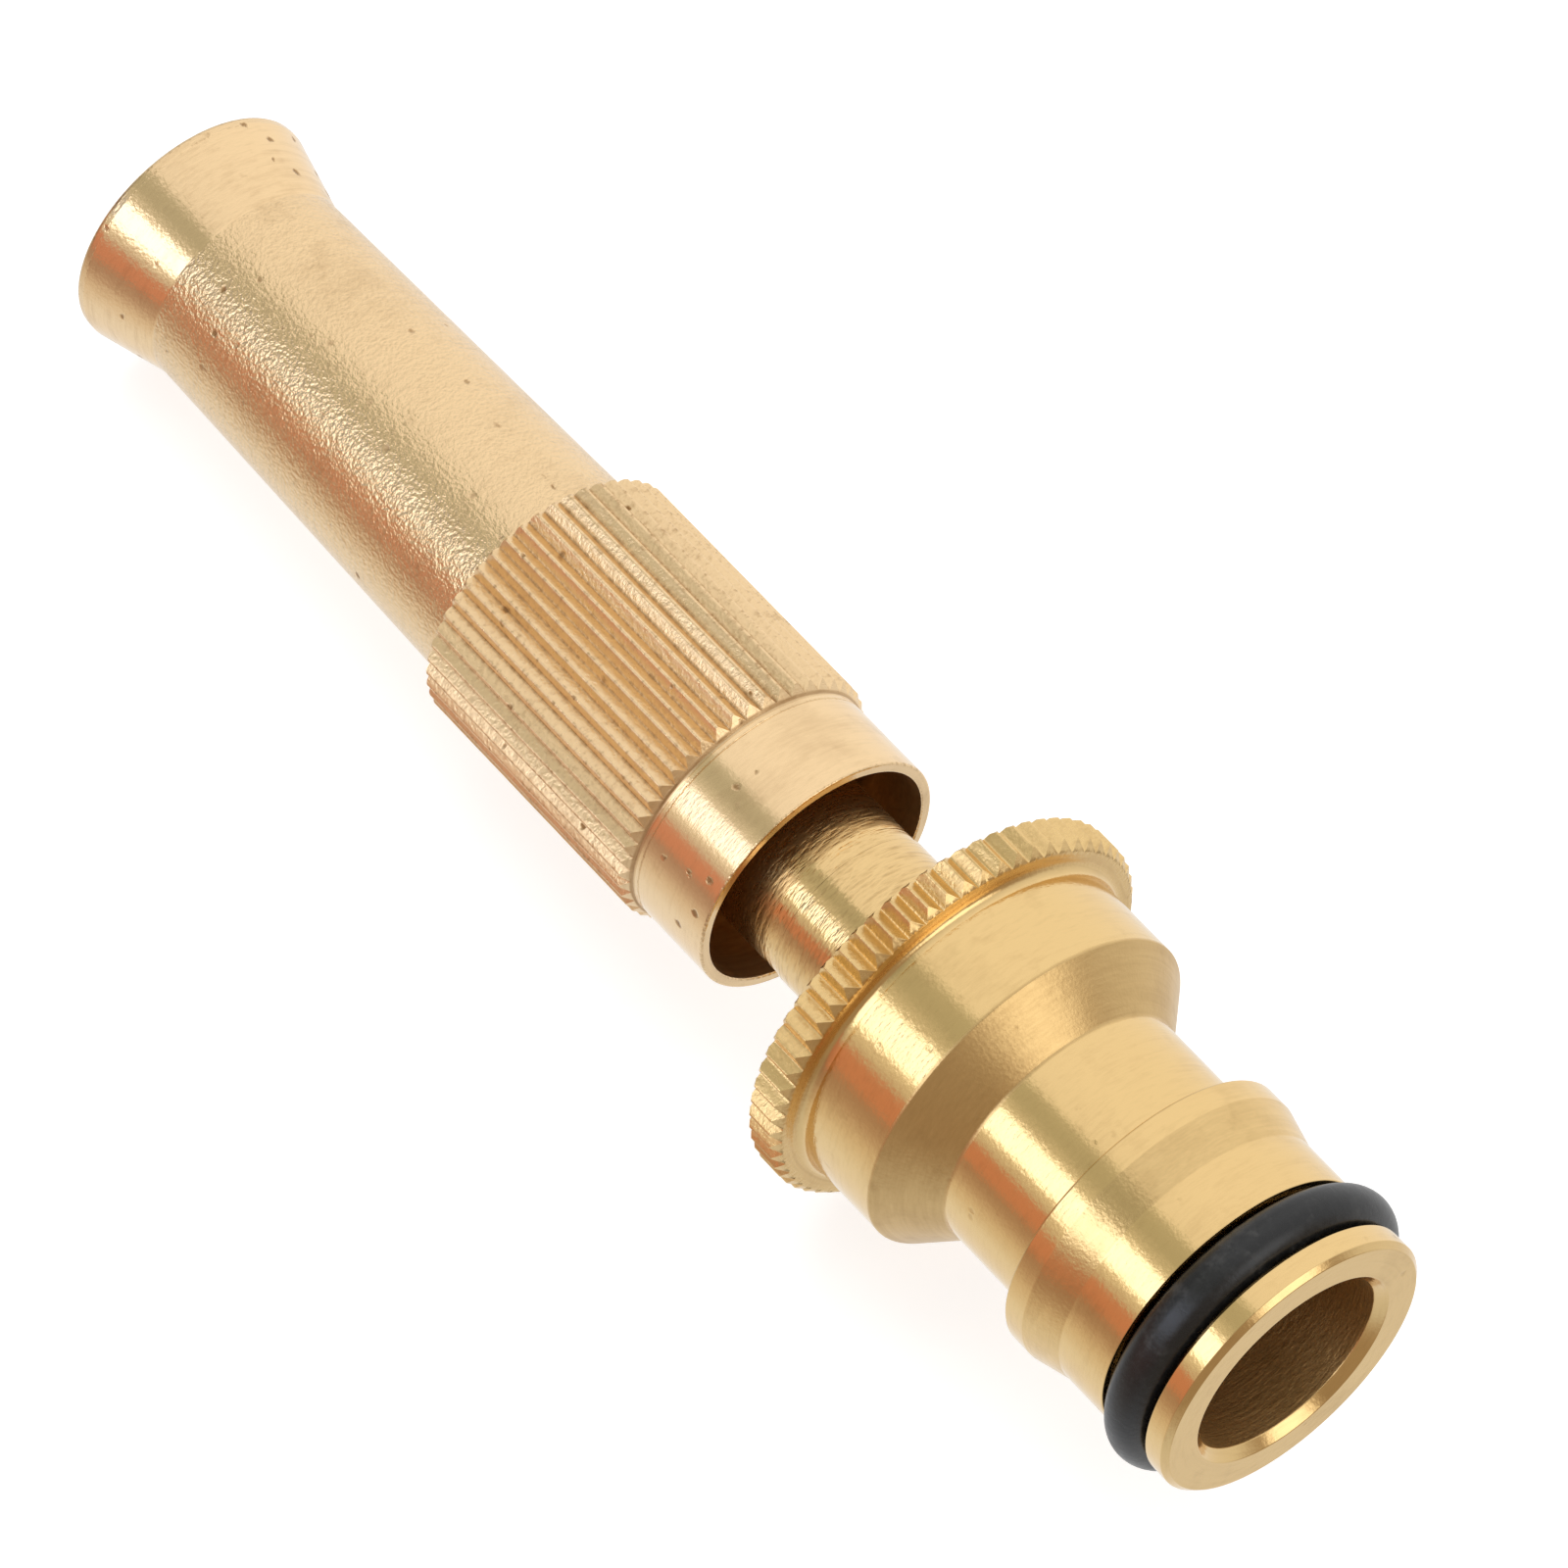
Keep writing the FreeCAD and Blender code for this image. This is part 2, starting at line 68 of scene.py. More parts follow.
# %% [markdown]
# ## The frame's units
#
# The origin is the centre of the inlet face and the outlet points along -X. Along a lathe a turner
# thinks of the distance from one end, so shapes here are outlines of *station* (millimetres from
# the inlet face) and *radius* (millimetres from the axis). One function turns both into metres in
# the frame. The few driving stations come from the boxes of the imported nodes.

# %% Stations from the frame
MM = 0.001


def stations_of(node):
    """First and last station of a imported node, and its largest radius, in millimetres."""
    low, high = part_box(node)
    return -high.x / MM, -low.x / MM, high.z / MM


_, FLANGE_END, FLANGE_RADIUS = stations_of("spigot_adapter")
SKIRT_START, MOUTH_END, GRIP_RADIUS = stations_of("barrel")
STEM_START, NEEDLE_END, _ = stations_of("stem")
print(f"flange ends at {FLANGE_END:.2f}, barrel {SKIRT_START:.2f} to {MOUTH_END:.2f}, "
      f"stem {STEM_START:.2f} to {NEEDLE_END:.2f}")

# %% [markdown]
# ## Outlines with rounded corners
#
# Real turned edges are never perfectly sharp: the tool leaves a small radius that catches the
# light. An outline is a list of corners, each with its own rounding. The function below replaces a
# corner by an arc that is tangent to both sides. It also puts one extra point just outside each
# end of the arc, so that smooth shading bends only across the arc and the flats stay flat. Points
# on outward arcs are marked, because handling polishes exactly those edges.

# %% Rounded outlines
ARC_STEP = math.radians(22)
SUPPORT = 0.02


def rounded(corners):
    """Outline (n, 3) of station, radius and edge mark through corners (station, radius, rounding).

    At a corner whose sides make the angle w, an arc of radius r starts r / tan(w / 2) along each
    side and its centre lies r / sin(w / 2) along the bisector.
    """
    places = np.array([corner[:2] for corner in corners], float)
    pieces = []
    for number, (station, radius, rounding) in enumerate(corners):
        here = places[number]
        if rounding == 0 or number in (0, len(corners) - 1):
            pieces.append([[station, radius, 0.0]])
            continue
        back = places[number - 1] - here
        ahead = places[number + 1] - here
        back /= np.hypot(*back)
        ahead /= np.hypot(*ahead)
        half = np.arccos(np.clip(back @ ahead, -1, 1)) / 2
        reach = rounding / np.tan(half)
        bisector = (back + ahead) / np.hypot(*(back + ahead))
        centre = here + bisector * rounding / np.sin(half)
        turn = math.pi - 2 * half
        steps = np.linspace(0, 1, 2 + int(turn / ARC_STEP))[:, None]
        first = here + back * reach - centre
        last = here + ahead * reach - centre
        blend = (np.sin((1 - steps) * turn) * first + np.sin(steps * turn) * last) / np.sin(turn)
        outward = back[0] * ahead[1] - back[1] * ahead[0] > 0
        mark = np.full((len(steps), 1), float(outward))
        arc = np.hstack([centre + blend, mark])
        before = here + back * (reach + SUPPORT)
        after = here + ahead * (reach + SUPPORT)
        pieces.append([[*before, 0.0]])
        pieces.append(arc)
        pieces.append([[*after, 0.0]])
    return np.vstack([np.array(piece, float) for piece in pieces])


def divided(outline, longest):
    """The outline with points added so that no run is longer than the given length."""
    parts = []
    for start, end in zip(outline[:-1], outline[1:]):
        count = max(1, math.ceil(np.hypot(*(end - start)[:2]) / longest))
        parts.append(start + (end - start) * np.arange(count)[:, None] / count)
    return np.vstack([*parts, outline[-1:]])


example = rounded([(0, 1, 0), (1, 1, 0.3), (1, 0, 0)])
print("a 90 degree corner of 0.3 mm gives", len(example), "points")

# %% [markdown]
# ## A shell of rings
#
# Every metal piece is a closed skin over rings of points: a ring is one station of the outline
# carried round the axis. Plain parts need far fewer columns than a knurl, so a shell can hold
# grids of two densities and join them with faces that take several fine points to one coarse step.
# The signed volume tells whether the faces look outwards, and they are turned round together if
# they don't.

# %% The shell
COARSE = 192
COARSE_ANGLES = np.arange(COARSE) * 2 * math.pi / COARSE


class Shell:
    """Points and faces of one closed turned surface, in the frame's metres."""

    def __init__(self):
        self.points, self.marks, self.faces = [], [], []
        self.count = 0

    def add(self, station, radius, angle, mark):
        """Grid of points: x = -station, y = radius cos(angle), z = radius sin(angle)."""
        station, radius, angle, mark = np.broadcast_arrays(station, radius, angle, mark)
        place = np.stack([-station, radius * np.cos(angle), radius * np.sin(angle)], -1) * MM
        self.points.append(place.reshape(-1, 3))
        self.marks.append(mark.ravel())
        numbers = np.arange(place[..., 0].size).reshape(station.shape) + self.count
        self.count += numbers.size
        return numbers

    def turn(self, outline, relief=None):
        """Rings of the coarse density along an outline; relief(station, angle) changes radii."""
        station, radius, mark = (outline[:, column, None] for column in range(3))
        angle = COARSE_ANGLES[None, :]
        if relief is not None:
            radius = relief(station, radius, angle)
        numbers = self.add(station, radius, angle, mark)
        self.skin(numbers)
        return numbers

    def skin(self, numbers, keep=True, flip=False):
        """Quads between the rows of a grid, closed at its last column; keep picks columns."""
        ahead = np.roll(numbers, -1, axis=1)
        quads = np.stack([numbers[:-1], ahead[:-1], ahead[1:], numbers[1:]], -1)
        chosen = quads[:, keep].reshape(-1, 4)
        self.faces.append(chosen[:, ::-1] if flip else chosen)

    def chain(self, grids, closed=True):
        """Join each grid's last ring to the next grid's first one."""
        following = [*grids[1:], grids[0]] if closed else grids[1:]
        for grid, after in zip(grids, following):
            self.join(grid[-1], after[0])

    def join(self, first, second):
        """Faces between two rings, where one may have several times the other's points."""
        if len(first) == len(second):
            self.skin(np.stack([first, second]))
            return
        fine, coarse = (first, second) if len(first) > len(second) else (second, first)
        ratio = len(fine) // len(coarse)
        steps = np.arange(len(coarse))[:, None] * ratio + np.arange(ratio + 1)
        many = fine[steps % len(fine)]
        few = np.stack([np.roll(coarse, -1), coarse], -1)
        face = np.hstack([many, few])
        self.faces.append(face if fine is first else face[:, ::-1])

    def cap(self, ring, station):
        """Fan of triangles from a ring to one point on the axis."""
        tip = self.add(np.array([[station]]), 0.0, 0.0, 0.0)[0, 0]
        fan = np.stack([ring, np.roll(ring, -1), np.full(len(ring), tip)], -1)
        self.faces.append(fan)

    def piece(self, name):
        """The finished object, smooth except across real corners."""
        points = np.vstack(self.points)
        if volume_sign(points, self.faces) < 0:
            self.faces = [face[:, ::-1] for face in self.faces]
        faces = [row for face in self.faces for row in face.tolist()]
        mesh = bpy.data.meshes.new(name)
        mesh.from_pydata(points, [], faces)
        mark = mesh.attributes.new("edge", "FLOAT", "POINT")
        mark.data.foreach_set("value", np.concatenate(self.marks).astype(np.float32))
        return finished(mesh, name)


def volume_sign(points, face_groups):
    """Sum over faces, cut in fans of triangles, of the corner products a . (b x c)."""
    total = 0.0
    for face in face_groups:
        for corner in range(1, face.shape[1] - 1):
            a, b, c = points[face[:, 0]], points[face[:, corner]], points[face[:, corner + 1]]
            total += np.einsum("ij,ij->", a, np.cross(b, c))
    return total


SHARP = math.radians(38)


def finished(mesh, name):
    """Object of a mesh, shaded smooth up to the sharp angle, with its size printed."""
    mesh.validate()
    mesh.polygons.foreach_set("use_smooth", np.ones(len(mesh.polygons), bool))
    mesh.set_sharp_from_angle(angle=SHARP)
    piece = bpy.data.objects.new(name, mesh)
    bpy.context.scene.collection.objects.link(piece)
    triangles = sum(len(polygon.vertices) - 2 for polygon in mesh.polygons)
    print(f"{name}: {len(mesh.vertices)} points, {triangles} triangles")
    return piece


# %% [markdown]
# ## Ribs: knurl and serrations
#
# The grip and the flange both carry straight V-grooves with 90 degree flanks, cut round a turned
# blank. Cutting each groove with a boolean would be slow and leave poor faces. Instead the radius
# is written as a function of the angle, and the band's two ends are written as functions of the
# radius. A row of points then follows the slanting line where a flank meets a chamfer, so the
# zigzag at the end of the ribs is crisp with very few points.

# %% Ribbed bands
SOFT_ROOT = 0.035
SOFT_CREST = 0.02
FACE_SHARES = np.array([0, 0.25, 0.5, 0.66, 0.8, 0.9, 0.97, 1.0])[:, None]


class Ribs:
    """Straight 90 degree grooves round a blank: their count, crest, depth and softened edges."""

    def __init__(self, count, crest, depth, inner_shares, outer_steps):
        self.count, self.crest, self.depth = count, crest, depth
        self.pitch = 2 * math.pi * crest / count
        edge = depth / self.pitch
        outer_shares = [edge + step for step in outer_steps]
        half = np.array([0, *inner_shares, *outer_shares, 0.5])
        one = np.concatenate([half, 1 - half[-2:0:-1]])
        turns = (np.arange(count)[:, None] + one[None, :]).ravel() / count
        self.angles = turns * 2 * math.pi

    def radius(self):
        """Smooth lower envelope of the crest and of root + |offset from the groove's centre|."""
        share = self.angles * self.count / (2 * math.pi)
        offset = np.abs(share - np.round(share)) * self.pitch
        flank = self.crest - self.depth + np.hypot(offset, SOFT_ROOT) - SOFT_ROOT
        gap = self.crest - flank
        return self.crest - (gap + np.hypot(gap, SOFT_CREST)) / 2


def ribbed_band(shell, ribs, inner_rear, inner_front, rear_face, front_face, rows):
    """Rings of a band: up the rear face, along the ribs, and down the front face.

    Between the plain ring of radius inner and the ribs' own radius R, a point of share u lies at
    radius inner + u (R - inner), and the face's function gives its station.
    """
    crest = ribs.radius()[None, :]
    rise = inner_rear + FACE_SHARES * (crest - inner_rear)
    fall = inner_front + FACE_SHARES[::-1] * (crest - inner_front)
    start, end = rear_face(crest) + SUPPORT, front_face(crest) - SUPPORT
    along = start + np.linspace(0, 1, rows)[:, None] * (end - start)
    station = np.vstack([rear_face(rise), along, front_face(fall)])
    radius = np.vstack([rise, np.broadcast_to(crest, along.shape), fall])
    height = (radius - (ribs.crest - ribs.depth)) / ribs.depth
    numbers = shell.add(station, radius, ribs.angles[None, :], np.clip(4 * height - 3, 0, 1))
    shell.skin(numbers)
    return numbers


KNURL = Ribs(48, GRIP_RADIUS, 0.42, (0.03, 0.08, 0.2), (-0.05, -0.012, 0.02, 0.05))
SERRATIONS = Ribs(64, FLANGE_RADIUS, 0.5, (0.03, 0.1, 0.3), (-0.02, 0.025))
print(f"knurl pitch {KNURL.pitch:.3f} mm, serration pitch {SERRATIONS.pitch:.3f} mm")

# %% [markdown]
# ## Screw threads
#
# A thread is one ridge wound round the axis. At any station and angle, the distance to the
# ridge's centre line is known, because the ridge moves one pitch along for each turn. So a thread
# is a relief on plain rings: where the distance is small the radius is the crest's, and it falls
# down the flank to the root. The frame's joint moves the barrel by the same pitch, so the two
# threads stay in mesh at every pose.

# %% Thread relief
FLANK = 0.577


class Thread:
    """Right-hand ridge: its station at the top of the nozzle, pitch, crest flat and crest."""

    def __init__(self, station, pitch, flat, crest):
        self.station, self.pitch, self.flat, self.crest = station, pitch, flat, crest

    def radius(self, station, angle, low, high, slack=0.0):
        """Crest over half the flat and the slack, then down the flank; kept from low to high.

        The ridge's centre lies at station - pitch (angle - 90 degrees) / 360 degrees.
        """
        turns = (station - self.station) / self.pitch + (angle - math.pi / 2) / (2 * math.pi)
        distance = np.abs(turns - np.round(turns)) * self.pitch
        return np.clip(self.crest - (distance - self.flat / 2 - slack) / FLANK, low, high)


MAIN_THREAD = Thread(38.0, 2.0, 0.4, 5.85)
REAR_THREAD = Thread(19.9315, 1.337, 0.22, 6.5)
THREAD_STEP = 0.1

# %% [markdown]
# ## The adapter
#
# The rear piece is the quick-connect spigot: a lip, a groove for the O-ring, a locking bead that
# the coupling's claws snap behind, a neck, a cone and a collar, then the serrated flange that a
# hand holds. Inside are the water way and the threaded socket for the stem. It is one outline
# turned round the axis, with the serrated band let into it.

# %% Adapter
FLANGE_WIDTH, FLANGE_REAR_CHAMFER, FLANGE_FRONT_CHAMFER = 2.2, 0.45, 0.25
SOCKET_MINOR, SOCKET_MAJOR, SOCKET_SLACK = 5.95, 6.75, 0.1


def make_adapter():
    """Closed shell: lip, outside, serrated band, front face, socket and water way."""
    shell = Shell()
    outside = shell.turn(divided(rounded([
        (0, 6.9, 0), (0, 7.7, 0.08), (0.3, 8.0, 0.08), (1.45, 8.0, 0.07), (1.45, 6.15, 0),
        (4.6, 6.15, 0), (4.6, 8.0, 0.07), (7.8, 8.0, 0.2), (9.9, 8.55, 0.15), (11.2, 8.55, 0.12),
        (11.5, 7.2, 0.12), (17.4, 7.2, 0.25), (20.0, 9.8, 0.15), (25.15, 9.8, 0.5),
        (25.15, 10.5, 0),
    ]), 2.0))
    band = ribbed_band(
        shell, SERRATIONS, 10.6, 10.6,
        lambda radius: FLANGE_END - FLANGE_WIDTH + np.maximum(
            0, radius - (FLANGE_RADIUS - FLANGE_REAR_CHAMFER)),
        lambda radius: FLANGE_END - np.maximum(
            0, radius - (FLANGE_RADIUS - FLANGE_FRONT_CHAMFER)),
        rows=6,
    )
    front = shell.turn(rounded([(FLANGE_END, 10.5, 0), (FLANGE_END, 6.8, 0)]))
    socket = shell.turn(
        divided(np.array([[FLANGE_END, SOCKET_MAJOR, 0], [26.55, SOCKET_MINOR, 0],
                          [20.6, SOCKET_MINOR, 0]]), THREAD_STEP),
        lambda station, radius, angle: np.maximum(
            radius,
            REAR_THREAD.radius(station, angle, SOCKET_MINOR, SOCKET_MAJOR, SOCKET_SLACK)),
    )
    inside = shell.turn(divided(rounded([
        (20.6, 6.8, 0), (19.3, 6.8, 0), (19.3, SOCKET_MINOR, 0), (17.5, SOCKET_MINOR, 0),
        (17.5, 4.0, 0.1),
        (13.0, 4.0, 0.1), (13.0, 5.45, 0), (0.5, 5.45, 0.1), (0, 5.95, 0.08), (0, 6.8, 0),
    ]), 2.0))
    shell.chain([outside, band, front, socket, inside])
    return shell.piece("adapter_body")


adapter = make_adapter()

# %% [markdown]
# ## Holes across a tube
#
# The stem lets the water out through four round holes in its side. A round hole in a grid of
# rings would leave jagged edges. So a rectangle of the grid is left open round each hole and
# filled with loops, which change from the rectangle to the circle step by step. The outer and the
# inner wall are treated alike, and the two circles are joined by the hole's own wall.

# %% Drilled ring of a tube
PORT_STATION, PORT_RADIUS, PORTS = 66.0, 1.4, 4
PORT_ROWS, PORT_REACH = 8, 1.8
PORT_COLUMNS = 18
LOOP_SHARES = np.array([1.0, 0.7, 0.4, 0.18, 0.0])[:, None]


def port_loop():
    """Rows and columns of the rectangle's rim, in order round it."""
    across = np.arange(-PORT_COLUMNS, PORT_COLUMNS)
    along = np.arange(PORT_ROWS)
    rows = [np.zeros_like(across), along, np.full_like(across, PORT_ROWS), along[::-1] + 1]
    columns = [across, np.full_like(along, PORT_COLUMNS), -across,
               np.full_like(along, -PORT_COLUMNS)]
    return np.concatenate(rows), np.concatenate(columns)


def drilled_ring(shell, radius, inward):
    """Grid of rings round the ports, and the circles where the ports meet it.

    A circle's point in direction w lies at station + r cos(w), turned by asin(r sin(w) / R).
    """
    stations = PORT_STATION + np.linspace(-PORT_REACH, PORT_REACH, PORT_ROWS + 1)
    grid = shell.add(stations[:, None], radius, COARSE_ANGLES[None, :], 0.0)
    spacing = COARSE // PORTS
    from_port = (np.arange(COARSE) + spacing // 2) % spacing - spacing // 2
    shell.skin(grid, (from_port < -PORT_COLUMNS) | (from_port >= PORT_COLUMNS), inward)
    rows, columns = port_loop()
    direction = np.arctan2(columns / PORT_COLUMNS, 2 * rows / PORT_ROWS - 1)
    circle_station = PORT_STATION + PORT_RADIUS * np.cos(direction)
    circle_angle = np.arcsin(PORT_RADIUS * np.sin(direction) / radius)
    rim_angle = columns * 2 * math.pi / COARSE
    station = circle_station + LOOP_SHARES[1:] * (stations[rows] - circle_station)
    angle = circle_angle + LOOP_SHARES[1:] * (rim_angle - circle_angle)
    circles = []
    for port in range(PORTS):
        rim = grid[rows, (columns + port * spacing) % COARSE]
        loops = shell.add(station, radius, angle + port * 2 * math.pi / PORTS, 0.0)
        shell.skin(np.vstack([rim, loops]), flip=inward)
        circles.append(loops[-1])
    return (grid[::-1] if inward else grid), circles


# %% [markdown]
# ## The stem
#
# The stem is screwed into the adapter and carries everything that the barrel turns on. Only its
# smooth neck shows, and the first threads when the nozzle is open, but the whole piece is made:
# rear thread, neck with one fine step, main thread, sealing land, ports and the valve tip.

# %% Stem
STEM_RADIUS = 4.67
BORE_END, BORE_RADIUS, DRILL_POINT = 67.9, 2.9, 1.67
REAR_ROOT, MAIN_ROOT = 5.75, 5.0


def make_stem():
    """Closed shell from the blind end of the bore, back, round the rear and out to the needle."""
    shell = Shell()
    deep = shell.turn(np.array([[BORE_END + 1.6, 0.14, 0], [BORE_END, BORE_RADIUS, 0]]))
    bored, inner_circles = drilled_ring(shell, BORE_RADIUS, inward=True)
    rear = shell.turn(divided(rounded([
        (63.9, BORE_RADIUS, 0), (STEM_START, BORE_RADIUS, 0.1), (STEM_START, 5.6, 0.1),
        (20.5, 5.6, 0),
    ]), 3.0))
    rear_screw = shell.turn(
        divided(np.array([[20.6, 5.6, 0], [21.5, 6.5, 0], [25.5, 6.5, 0], [26.4, 5.6, 0]]),
                THREAD_STEP),
        lambda station, radius, angle: np.minimum(
            radius, REAR_THREAD.radius(station, angle, REAR_ROOT, REAR_THREAD.crest)),
    )
    neck = shell.turn(divided(rounded([
        (26.4, 4.75, 0), (33.4, 4.75, 0.03), (33.4, STEM_RADIUS, 0.03), (38.9, STEM_RADIUS, 0),
    ]), 1.5))
    main_screw = shell.turn(
        divided(np.array([[39.0, STEM_RADIUS, 0], [40.18, MAIN_THREAD.crest, 0],
                          [48.32, MAIN_THREAD.crest, 0], [49.5, STEM_RADIUS, 0]]), THREAD_STEP),
        lambda station, radius, angle: np.minimum(
            radius, MAIN_THREAD.radius(station, angle, MAIN_ROOT, MAIN_THREAD.crest)),
    )
    land = shell.turn(divided(rounded([
        (49.6, STEM_RADIUS, 0), (62.0, STEM_RADIUS, 0.1), (62.67, 4.0, 0.1), (64.0, 4.0, 0),
    ]), 3.0))
    waist, outer_circles = drilled_ring(shell, 4.0, inward=False)
    tip = shell.turn(divided(rounded([
        (68.0, 4.0, 0), (69.57, 4.0, 0), (69.57, 4.4, 0.08), (70.42, 4.4, 0.08),
        (70.42, 2.62, 0.05), (72.42, 2.62, 0.05), (72.42, 3.75, 0.08), (74.17, 2.0, 0.15),
        (NEEDLE_END, 1.3, 0.6), (NEEDLE_END, 0.2, 0),
    ]), 2.0))
    shell.chain([deep, bored, rear, rear_screw, neck, main_screw, land, waist, tip], closed=False)
    shell.cap(deep[0][::-1], BORE_END + DRILL_POINT)
    shell.cap(tip[-1], NEEDLE_END)
    for outer, inner in zip(outer_circles, inner_circles):
        shell.skin(np.stack([outer, inner]))
    return shell.piece("stem_tube")


stem = make_stem()

# %% [markdown]
# ## The barrel
#
# The barrel is the sleeve that the hand twists. Its skirt covers the stem's thread, the knurl
# gives the grip, the long slightly tapered tube carries the water and the flared mouth shapes the
# jet. Inside lie the thread, the groove of the sliding seal and the conical seat that closes on
# the stem's tip. The knurl's rear ends run out in a turned chamfer, and its front ends are flush.

# %% Barrel
GRIP_START, GRIP_END = 41.48, 57.6
SKIRT_RADIUS = 7.26
GRIP_ROUND = 0.25
BARREL_BORE, ORIFICE_RADIUS = 5.0, 2.4
NUT_MINOR, NUT_MAJOR, NUT_SLACK = 5.25, 6.1, 0.25


def grip_front_face(radius):
    """Station of the grip's front: a flat face with a quarter round at the crests."""
    over = np.clip(radius - (GRIP_RADIUS - GRIP_ROUND), 0, GRIP_ROUND)
    return GRIP_END - GRIP_ROUND + np.sqrt(GRIP_ROUND**2 - over**2)


def make_barrel():
    """Closed shell: skirt, knurl, tube, flare and mouth, then back inside to the skirt."""
    shell = Shell()
    rear = SKIRT_START
    skirt = shell.turn(divided(rounded([
        (rear, 6.97, 0), (rear, SKIRT_RADIUS, 0.12), (41.02, SKIRT_RADIUS, 0.02),
        (41.06, SKIRT_RADIUS - 0.03, 0), (41.1, SKIRT_RADIUS, 0.02), (41.3, SKIRT_RADIUS, 0),
        (41.34, SKIRT_RADIUS - 0.04, 0), (41.4, SKIRT_RADIUS, 0),
    ]), 2.0))
    knurl = ribbed_band(
        shell, KNURL, SKIRT_RADIUS, 7.02,
        lambda radius: GRIP_START + (radius - SKIRT_RADIUS), grip_front_face, rows=10,
    )
    outside = shell.turn(divided(rounded([
        (GRIP_END, 6.98, 0), (GRIP_END, 6.6, 0.3), (82.5, 6.06, 0.25), (86.9, 7.17, 0.3),
        (MOUTH_END, 7.17, 0.25), (MOUTH_END, 6.35, 0.12), (79.6, ORIFICE_RADIUS, 0.1),
        (77.1, ORIFICE_RADIUS, 0.1), (74.5, BARREL_BORE, 0.2), (56.6, BARREL_BORE, 0.05),
        (56.6, 6.6, 0), (54.6, 6.6, 0), (54.6, NUT_MINOR, 0), (53.9, NUT_MINOR, 0),
        (53.9, 6.2, 0), (52.2, 6.2, 0),
    ]), 2.5))
    nut = shell.turn(
        divided(np.array([[52.2, NUT_MINOR, 0], [41.85, NUT_MINOR, 0], [41.0, NUT_MAJOR, 0]]),
                THREAD_STEP),
        lambda station, radius, angle: np.maximum(
            radius, MAIN_THREAD.radius(station, angle, NUT_MINOR, NUT_MAJOR, NUT_SLACK)),
    )
    skirt_inside = shell.turn(divided(rounded([
        (41.0, 6.67, 0), (rear, 6.67, 0.1), (rear, 6.9, 0),
    ]), 2.0))
    shell.chain([skirt, knurl, outside, nut, skirt_inside])
    return shell.piece("barrel_sleeve")


barrel = make_barrel()

# %% [markdown]
# ## Rubber rings and the washer
#
# O-rings are tori, so their surface is a circle carried round a circle. The one on the spigot is
# squeezed into its groove by hand and stands proud of it. The washer is a flat ring with soft
# edges, between the adapter's seat and the rear of the stem.

# %% Rings
RING_COLUMNS, RING_ROWS = 256, 48


def make_ring(name, station, mean, section):
    """Torus: radius mean + section cos(v) and station + section sin(v), carried round by u."""
    shell = Shell()
    v = np.arange(RING_ROWS)[:, None] * 2 * math.pi / RING_ROWS
    u = np.arange(RING_COLUMNS)[None, :] * 2 * math.pi / RING_COLUMNS
    grid = shell.add(station + section * np.sin(v), mean + section * np.cos(v), u, 0.0)
    shell.skin(np.vstack([grid, grid[:1]]))
    return shell.piece(name)


def make_washer():
    """Flat ring with rounded edges."""
    shell = Shell()
    ring = shell.turn(rounded([
        (17.5, 4.9, 0), (17.5, 5.8, 0.2), (19.0, 5.8, 0.2), (19.0, 4.0, 0.2), (17.5, 4.0, 0.2),
        (17.5, 4.8, 0),
    ]))
    shell.chain([ring])
    return shell.piece("washer_inlet")


coupling_ring = make_ring("oring_spigot", 3.03, 7.49, 1.31)
sealing_ring = make_ring("oring_sliding", 55.6, 5.65, 0.9)
shutoff_ring = make_ring("oring_tip", 71.42, 3.6, 0.95)
washer = make_washer()

# %% [markdown]
# ## What rides on what
#
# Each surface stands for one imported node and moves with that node's body. The sliding seal has a
# body of its own between stem and barrel: it slides along with the barrel but doesn't turn.

# %% Bodies, nodes and slots
for piece, node, body, slot in (
    (adapter, "spigot_adapter", "spigot", "adapter_brass"),
    (stem, "stem", "spigot", "stem_brass"),
    (washer, "inlet_washer", "spigot", "washer_rubber"),
    (coupling_ring, "coupling_oring", "spigot", "oring_rubber"),
    (shutoff_ring, "shutoff_oring", "spigot", "seal_rubber"),
    (sealing_ring, "sealing_oring", "seal", "seal_rubber"),
    (barrel, "barrel", "barrel", "barrel_brass"),
):
    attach(piece, body)
    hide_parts(node)
    print(f"{piece.name} stands for {node} on {body}")

# %% [markdown]
# ## Shader maths in Python
#
# Brass is one shader with many small variations, and they are easiest to read as formulas. A
# `Number` wraps one output of a node, and adding or multiplying two of them adds the Math node
# that does it. Every other node comes from one method of `Finish`, which sets the node's own
# settings first and its inputs after them.

# %% Numbers and finishes
class Number:
    """Output of a shader node that arithmetic works on."""

    def __init__(self, finish, socket):
        self.finish, self.socket = finish, socket

    def math(self, operation, *values):
        """A Math node on this number and others."""
        inputs = {place: value for place, value in enumerate((self, *values))}
        return self.finish.node("ShaderNodeMath", {"operation": operation}, inputs).number()

    def __add__(self, other):
        return self.math("ADD", other)

    def __sub__(self, other):
        return self.math("SUBTRACT", other)

    def __mul__(self, other):
        return self.math("MULTIPLY", other)

    def __pow__(self, other):
        return self.math("POWER", other)

    def __rsub__(self, other):
        return (self * -1) + other

    __radd__ = __add__
    __rmul__ = __mul__

    def between(self, low, high):
        """0 below low and 1 above high, with a soft step between; low may be the higher one."""
        values = {"Value": self, "From Min": low, "From Max": high}
        settings = {"interpolation_type": "SMOOTHSTEP"}
        return self.finish.node("ShaderNodeMapRange", settings, values).number()


class Node:
    """A shader node with short ways to its outputs."""

    def __init__(self, finish, node):
        self.finish, self.node = finish, node

    def number(self, output=0):
        """One output as a number."""
        return Number(self.finish, self.node.outputs[output])


